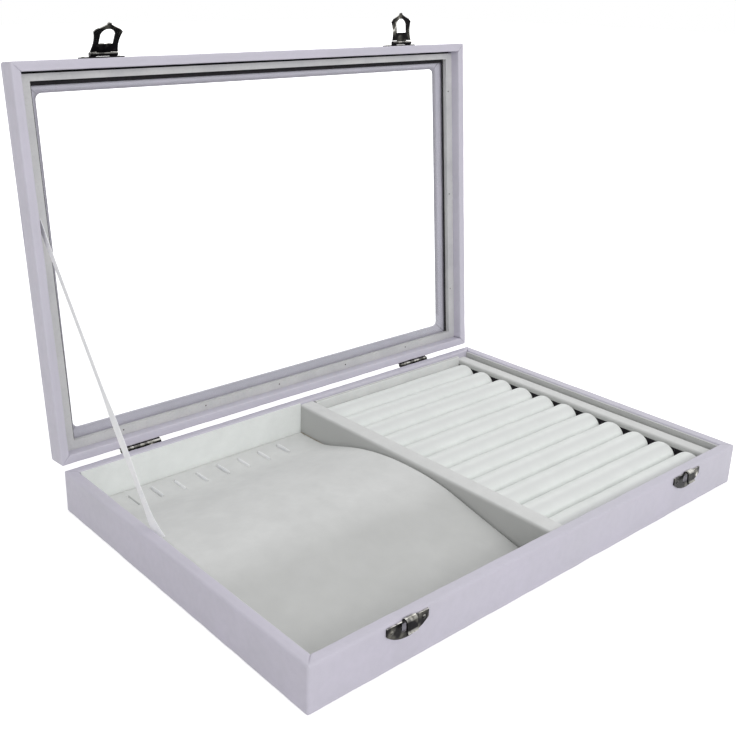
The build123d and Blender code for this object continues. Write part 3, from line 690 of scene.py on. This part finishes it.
def ring_roll(centre_y, low, high, seed):
    """A bar with a half-round top and bevelled foot, carried along X and drawn in near its ends."""
    middle = high.z - ROLL_RADIUS
    foot_y = ROLL_RADIUS - ROLL_FOOT
    turn = np.linspace(0, math.pi, 27)
    side = np.linspace(middle, low.z + ROLL_FOOT, 4)[1:]
    section = np.concatenate([
        np.stack([ROLL_RADIUS * np.cos(turn), middle + ROLL_RADIUS * np.sin(turn)], axis=1),
        np.stack([0 * side - ROLL_RADIUS, side], axis=1),
        [(share * foot_y, low.z) for share in (-1, -0.5, 0, 0.5, 1)],
        np.stack([0 * side + ROLL_RADIUS, side[::-1]], axis=1),
    ])
    off = np.array([0.0, 0.15, 0.4, 0.8, 1.3, 1.9, 2.7, 3.6, 4.6]) * MM
    length = high.x - low.x
    inner = np.linspace(ROLL_END_REACH, length - ROLL_END_REACH, 48)
    along = np.concatenate([[0.0], off, inner, length - off[::-1], [length]])
    left, right = drawn_in(off, ROLL_ENDS[0]), drawn_in(off, ROLL_ENDS[1])
    inset = np.concatenate([[0.0], left, 0 * inner, right[::-1], [0.0]])
    shut = np.ones((len(along), 1))
    shut[[0, -1]] = 0.0
    core_z = middle - ROLL_CORE_DROP
    arm = section - np.array([0.0, core_z])
    reach = np.linalg.norm(arm, axis=1)
    scale = (1 - inset[:, None] / reach) * shut
    y = centre_y + arm[:, 0] * scale
    z = np.maximum(core_z + arm[:, 1] * scale, low.z)
    x = np.broadcast_to((low.x + along)[:, None], y.shape)
    grid = np.stack([x, y, z], axis=-1)
    broad_swell = 0.16 * MM * waves(grid, 42 * MM, seed)
    small_swell = 0.07 * MM * waves(grid, 11 * MM, seed + 1)
    swell = (broad_swell + small_swell - 0.15 * MM) * shut
    off_floor = np.clip((z - low.z) / (4 * MM), 0, 1)
    grid[..., 1] += arm[:, 0] / reach * swell * off_floor
    grid[..., 2] += arm[:, 1] / reach * swell * off_floor
    return grid


for number in range(1, 12):
    low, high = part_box(f"ring_roll_{number:02d}")
    grid = ring_roll((low.y + high.y) / 2, low, high, 300 + 7 * number)
    roll_piece = piece(f"ring_roll_{number:02d}_velvet", [grid], foam_and_lit_velvet, "case",
                       ring=True)
    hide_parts(f"ring_roll_{number:02d}")

# Painted shade: a near-black card finish for dark sheets set where the notches and gaps lie in
# shade.
shade_black = Finish("shade_black", {"Roughness": 0.9, "Specular IOR Level": 0.2})
shade_black_fibre = shade_black.noise(shade_black.place(), scale=800.0, detail=4.0, rough=0.7)
shade_black_skin = shade_black.layered(
    tint(28, 27, 30),
    (shade_black.ramp(shade_black_fibre, 0.3, 0.7), tint(48, 46, 50)),
)
shade_black.feed(Base_Color=shade_black_skin, Normal=shade_black.relief(shade_black_fibre, 0.05 * MM))
# Painted shade: a black card behind the roll ends darkens the notches between them.
ROLL_END_SHADE_LOW = np.array([155.73, -108.5, 4.1]) * MM
ROLL_END_SHADE_HIGH = np.array([155.87, 106.5, 17.9]) * MM
piece("roll_end_shade_card", [slab(ROLL_END_SHADE_LOW, ROLL_END_SHADE_HIGH)], shade_black, "case", ring=True, sharp=30.0)


# Lid walls and frame board: lighter battens and a thin board with a wide window, wrapped in
# one skin of leatherette. The skin is cut on the window's diagonals and turned in, which leaves
# a small fold in each corner. Painted shade darkens these folds and a line along the window's
# edge, less on the back rail.
LID_UNDER = 26.4 * MM
LID_BOARD = 38.4 * MM
LID_TOP = 40.4 * MM
LID_WALL = 5.5 * MM
LID_ROUNDS = (0.9 * MM, 0.7 * MM, 0.2 * MM, 0.02 * MM)
HINGE_Y, HINGE_Z = 117.8 * MM, 26.2 * MM
LID_TURN = math.radians(95)


def opened(points):
    """Swings points of the closed lid about the hinge line, up to where the lid stands open."""
    over, rise = points[..., 1] - HINGE_Y, points[..., 2] - HINGE_Z
    cosine, sine = math.cos(LID_TURN), math.sin(LID_TURN)
    y = HINGE_Y + over * cosine + rise * sine
    z = HINGE_Z - over * sine + rise * cosine
    return np.stack([points[..., 0], y, z], axis=-1)


for number, side in enumerate(WALL_SIDES):
    grid, edge_marks, crease_shade_marks = wrapped_wall(
        side, LID_WALL, LID_UNDER, LID_BOARD, LID_ROUNDS, seed=100 + 10 * number)
    wall_piece = piece(f"lid_{side}_leatherette", [opened(grid)], leatherette, "lid",
                       ring=True, spots={"edge": edge_marks, "crease": crease_shade_marks})
    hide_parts(f"lid_{side}_wall")

WINDOW_LOW = np.array([-159.4, -98.7]) * MM
WINDOW_HIGH = np.array([155.0, 98.9]) * MM
WINDOW_ROUND = 3.8 * MM
WINDOW_SHIFT, WINDOW_LEAN = 0.8 * MM, 0.008
FRAME_BOARD = 17.0 * MM
FRAME_ROUNDS = (0.02 * MM, 0.7 * MM, 0.8 * MM, 0.9 * MM)
FRAME_STEP = 1.5 * MM
ARC_POINTS = 9
CORNER_STEP = 67


def rounded_loop(low, high, corner):
    """A rectangle with quarter-circle corners, with as many points whatever its size."""
    half, middle = (high - low) / 2, (high + low) / 2
    signs = np.array([(1, -1), (1, 1), (-1, 1), (-1, -1)])
    arcs = []
    for n in range(4):
        turn = math.pi / 2 * (n - 1) + np.linspace(0, math.pi / 2, ARC_POINTS)
        centre = middle + signs[n] * (half - corner)
        arcs.append(centre + corner * np.stack([np.cos(turn), np.sin(turn)], axis=1))
    straight = np.linspace(0, 1, CORNER_STEP - ARC_POINTS + 2)[1:-1, None]
    walk = []
    for n in range(4):
        start, finish = arcs[n][-1], arcs[(n + 1) % 4][0]
        walk += [arcs[n], start + (finish - start) * straight]
    return np.concatenate(walk)


frame_outline, frame_outward, frame_edge = rounded_outline(
    (0.0, LID_BOARD), (FRAME_BOARD, LID_TOP), FRAME_ROUNDS, FRAME_STEP)
lid_corner = np.array([HALF_WIDTH, HALF_DEPTH])
outer_loop = rounded_loop(-lid_corner, lid_corner, CORNER_ROUND)
inner_loop = rounded_loop(WINDOW_LOW, WINDOW_HIGH, WINDOW_ROUND)
left_edge_shift = WINDOW_SHIFT - inner_loop[:, 1] * WINDOW_LEAN
inner_loop[:, 0] += np.where(inner_loop[:, 0] < 0, left_edge_shift, 0)
inward = (frame_outline[:, 0] / FRAME_BOARD)[None, :, None]
frame_plan = outer_loop[:, None] * (1 - inward) + inner_loop[:, None] * inward
frame_height = np.broadcast_to(frame_outline[:, 1], frame_plan.shape[:2])
frame_grid = np.concatenate([frame_plan, frame_height[..., None]], axis=-1)
frame_swell = 0.05 * MM * waves(frame_grid, 30 * MM, 160) - 0.03 * MM
frame_grid[..., 2] += frame_outward[:, 1] * frame_swell
frame_grid = np.concatenate([frame_grid, frame_grid[:1]])
# Painted shade along the window's cut edge, fainter on the back rail, and in the corner folds.
window_edge_shade = np.clip((frame_outline[:, 0] - FRAME_BOARD) / (0.8 * MM) + 2.2, 0, 1) * 0.5
on_back_rail = frame_grid[..., 1] > 90 * MM
on_under_side = frame_outline[:, 1] < LID_BOARD + 0.3 * MM
frame_crease_shade = window_edge_shade * np.where(on_back_rail, 0.35, 1.0)
frame_crease_shade[ARC_POINTS // 2::CORNER_STEP] = np.where(on_under_side, 0.5, 0.08)
frame_marks = {"edge": np.broadcast_to(frame_edge, frame_grid.shape[:2]), "crease": frame_crease_shade}
frame_piece = piece("lid_frame_leatherette", [opened(frame_grid)], leatherette, "lid",
                    ring=True, spots=frame_marks)
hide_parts("lid_top_frame")


# Glass: a clear pane under the frame board, held by four paper-covered strips pinned inside
# the lid. The strips are soft white board. A black sheet round the pane's edge, reaching past
# the strips, is painted shade for the dark gaps beside them.
# By the hinges the strip's paper is folded over and fills the gap to the wall.
pane = Finish("glass", {})
pane_clear = pane.tree.nodes.new("ShaderNodeBsdfTransparent")
pane_clear.inputs["Color"].default_value = (0.985, 0.99, 0.988, 1.0)
pane_gloss = pane.tree.nodes.new("ShaderNodeBsdfGlossy")
pane_gloss.inputs["Roughness"].default_value = 0.02
pane_mix = pane.tree.nodes.new("ShaderNodeMixShader")
pane_cloud = pane.noise(pane.place(), scale=25.0, detail=4.0, rough=0.6)
pane_smear = pane.ramp(pane_cloud, 0.4, 0.8)
pane_share = pane.add("ShaderNodeFresnel", {}, {"IOR": 1.25}) * (pane_smear * 0.2 + 0.5)
pane_sources = (pane_share.socket, pane_clear.outputs[0], pane_gloss.outputs[0])
for pane_source, pane_input in zip(pane_sources, pane_mix.inputs):
    pane.tree.links.new(pane_source, pane_input)
pane.tree.links.new(pane_mix.outputs[0], pane.output.inputs["Surface"])
pane.tree.nodes.remove(pane.shader)
dress(pane, "glass", "glass_pane")

strip_card = Finish("strip card", {"Roughness": 0.8, "Specular IOR Level": 0.25})
card_place = strip_card.place()
card_fibre = strip_card.noise(card_place, scale=700.0, detail=4.0, rough=0.6)
card_patch = strip_card.noise(card_place, scale=50.0, detail=3.0)
card_skin = strip_card.layered(
    tint(210, 210, 210),
    (strip_card.ramp(card_patch, 0.35, 0.7), tint(198, 198, 200)),
    (strip_card.ramp(card_fibre, 0.5, 0.8) * 0.3, tint(172, 172, 174)),
)
strip_card.feed(Base_Color=card_skin, Normal=strip_card.relief(card_fibre, 0.08 * MM))
dress(strip_card, "liner_board", "glass_strip_front", "glass_strip_back", "glass_strip_left",
      "glass_strip_right")
FOLD_LOW = np.array([-169.4, 109.42, 33.9]) * MM
FOLD_HIGH = np.array([169.4, 110.68, 36.82]) * MM
piece("strip_fold_back", [opened(slab(FOLD_LOW, FOLD_HIGH))], strip_card, "lid",
      ring=True, sharp=30.0)

# Painted shade: a thin black sheet under the strips and just past their inner edges.
SHADE_SHEET_OUTSIDE = np.array([[-169.2, -110.4], [169.2, 109.2]]) * MM
SHADE_SHEET_INSIDE = np.array([[-160.6, -102.9], [162.1, 105.3]]) * MM
SHADE_SHEET_LOW, SHADE_SHEET_HIGH = 36.84 * MM, 36.9 * MM
SHADE_SHEET_ROUND = 0.3 * MM
shade_sheet_section = ((SHADE_SHEET_OUTSIDE, SHADE_SHEET_LOW), (SHADE_SHEET_INSIDE, SHADE_SHEET_LOW),
                (SHADE_SHEET_INSIDE, SHADE_SHEET_HIGH), (SHADE_SHEET_OUTSIDE, SHADE_SHEET_HIGH))
shade_sheet_lines = []
for corners, height in shade_sheet_section:
    loop = rounded_loop(*corners, SHADE_SHEET_ROUND)
    shade_sheet_lines.append(np.concatenate([loop, np.full((len(loop), 1), height)], axis=1))
shade_sheet_grid = np.stack(shade_sheet_lines, axis=1)
shade_sheet_grid = np.concatenate([shade_sheet_grid, shade_sheet_grid[:1]])
piece("glass_edge_shade_sheet", [opened(shade_sheet_grid)], shade_black, "lid", ring=True, sharp=30.0)


# Hardware: stamped and bent from thin sheet, dark nickel plated and polished, held by small
# domed nails. Its dark colour is partly the plating and partly painted dark reflection, with
# painted highlights on faces turned upwards and in small patches. Hinges sit behind the case;
# a hasp with a window hangs from a plate on the lid over each keeper. Brads of the same metal
# pin the glass strips at the back and on the right.
nickel = Finish("nickel", {"Metallic": 1.0})
plate_place = nickel.place()
plate_tarnish = nickel.noise(plate_place, scale=180.0, detail=5.0, rough=0.65)
plate_cloud = nickel.noise(plate_place, scale=110.0, detail=2.0)
plate_scratch = nickel.drawn_noise(plate_place, scales=(300.0, 300.0, 5000.0), detail=3.0)
plate_streak = nickel.drawn_noise(plate_place, scales=(320.0, 80.0, 80.0), detail=2.0)
# Painted highlight: faces turned upwards take a bright tint over the dark colour.
plate_painted_highlight = nickel.ramp(nickel.facing("Z") + plate_tarnish * 0.3, 0.3, 0.85)
plate_skin = nickel.layered(
    tint(30, 29, 30),
    (plate_painted_highlight, tint(222, 220, 214)),
    (nickel.ramp(plate_tarnish, 0.45, 0.75) * 0.6, tint(30, 29, 30)),
    (nickel.ramp(plate_cloud, 0.48, 0.62) * 0.65, tint(118, 116, 108)),
    (nickel.ramp(plate_streak, 0.5, 0.58) * 0.7, tint(26, 25, 26)),
    # Painted highlight: small bright patches.
    (nickel.ramp(plate_cloud, 0.66, 0.7) * 0.9, tint(214, 212, 206)),
)
plate_sheen = nickel.ramp(plate_tarnish + plate_scratch * 0.4, 0.4, 1.0) * 0.22 + 0.12
plate_bump = nickel.relief(plate_scratch, 0.01 * MM)
nickel.feed(Base_Color=plate_skin, Roughness=plate_sheen, Normal=plate_bump)
hardware = [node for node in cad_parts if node.startswith(("keeper", "hinge", "hasp"))]
dress(nickel, "nickel", *hardware)

BRADS = [(x, 107.3) for x in (-129, -68, -7, 54, 115)] + [(165.6, y) for y in (-82, -5, 70)]
STRIP_FACE = 33.6 * MM


def brad(x, y):
    """The domed head of a brad in a strip's face: rings that widen from its top to its rim."""
    turn = np.linspace(0, 2 * math.pi, 12, endpoint=False)
    reach = np.array([0.0, 0.25, 0.42, 0.5, 0.5, 0.0])[:, None] * MM
    below = np.array([0.22, 0.19, 0.12, 0.02, -0.1, -0.1])[:, None] * MM
    height = STRIP_FACE - below + 0 * turn
    return np.stack([x * MM + reach * np.cos(turn), y * MM + reach * np.sin(turn), height], axis=-1)


brads = [opened(brad(x, y)) for x, y in BRADS]
piece("strip_brads", brads, nickel, "lid", ring=True)


# Ribbon stay: a narrow satin ribbon from the left liner to the lid's left wall, which keeps
# the lid from falling back. It lies against the liner where it is sewn and turns edge-on as it
# rises. It is shaped for the open lid only and rides on neither body; the real ribbon folds into
# the case as the lid shuts.
STAY_BASE = np.array([-167.2, 21.9, 21.8]) * MM
STAY_LID = opened(np.array([-167.2, -29.3, 33.3]) * MM)
STAY_WIDTH = 6.0 * MM
STAY_THICK = 0.35 * MM
STAY_ROUND = 0.15 * MM
STAY_BOW_SHARE, STAY_BOW_FORWARD, STAY_BOW_UP = 0.07, 4.0 * MM, 1.6 * MM
STAY_TWIST = np.array([
    (0.0, 24.0), (0.03, 16.0), (0.06, 7.0), (0.1, -1.0), (0.14, -4.0), (0.19, -4.0), (0.265, 7.0),
    (0.36, 5.0), (0.45, -8.0), (0.68, -9.0), (0.82, -8.0), (0.95, -4.0), (1.0, -3.0),
])


def ribbon_stay():
    """A flat ribbon on a nearly straight line, which a plotted twist narrows and widens to the eye.

    It bows forward and up where it passes over the liner's top. Its section is a thin rounded bar.
    """
    share = np.linspace(0, 1, 160)
    line = STAY_BASE + (STAY_LID - STAY_BASE) * share[:, None]
    bow = np.clip(1 - share / STAY_BOW_SHARE, 0, 1) ** 2
    line[:, 1] -= STAY_BOW_FORWARD * bow
    line[:, 2] += STAY_BOW_UP * bow
    twist = np.radians(smoothed(STAY_TWIST, share, 0.02, 7))[:, None]
    rise = (STAY_LID - STAY_BASE) / np.linalg.norm(STAY_LID - STAY_BASE)
    face = np.array([1.0, 0.0, 0.0])
    side = np.cross(rise, face)
    across = np.cos(twist) * side - np.sin(twist) * face
    thick = np.cos(twist) * face + np.sin(twist) * side
    corner = np.array([STAY_WIDTH, STAY_THICK]) / 2
    outline, _, _ = rounded_outline(-corner, corner, (STAY_ROUND,) * 4, 0.7 * MM)
    grid = line[:, None] + across[:, None] * outline[None, :, :1]
    grid += thick[:, None] * outline[None, :, 1:]
    return capped(grid)


stay = piece("ribbon_stay_satin", [ribbon_stay()], ribbon, "case", ring=True, rides=False)
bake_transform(stay)
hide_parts("ribbon_stay")
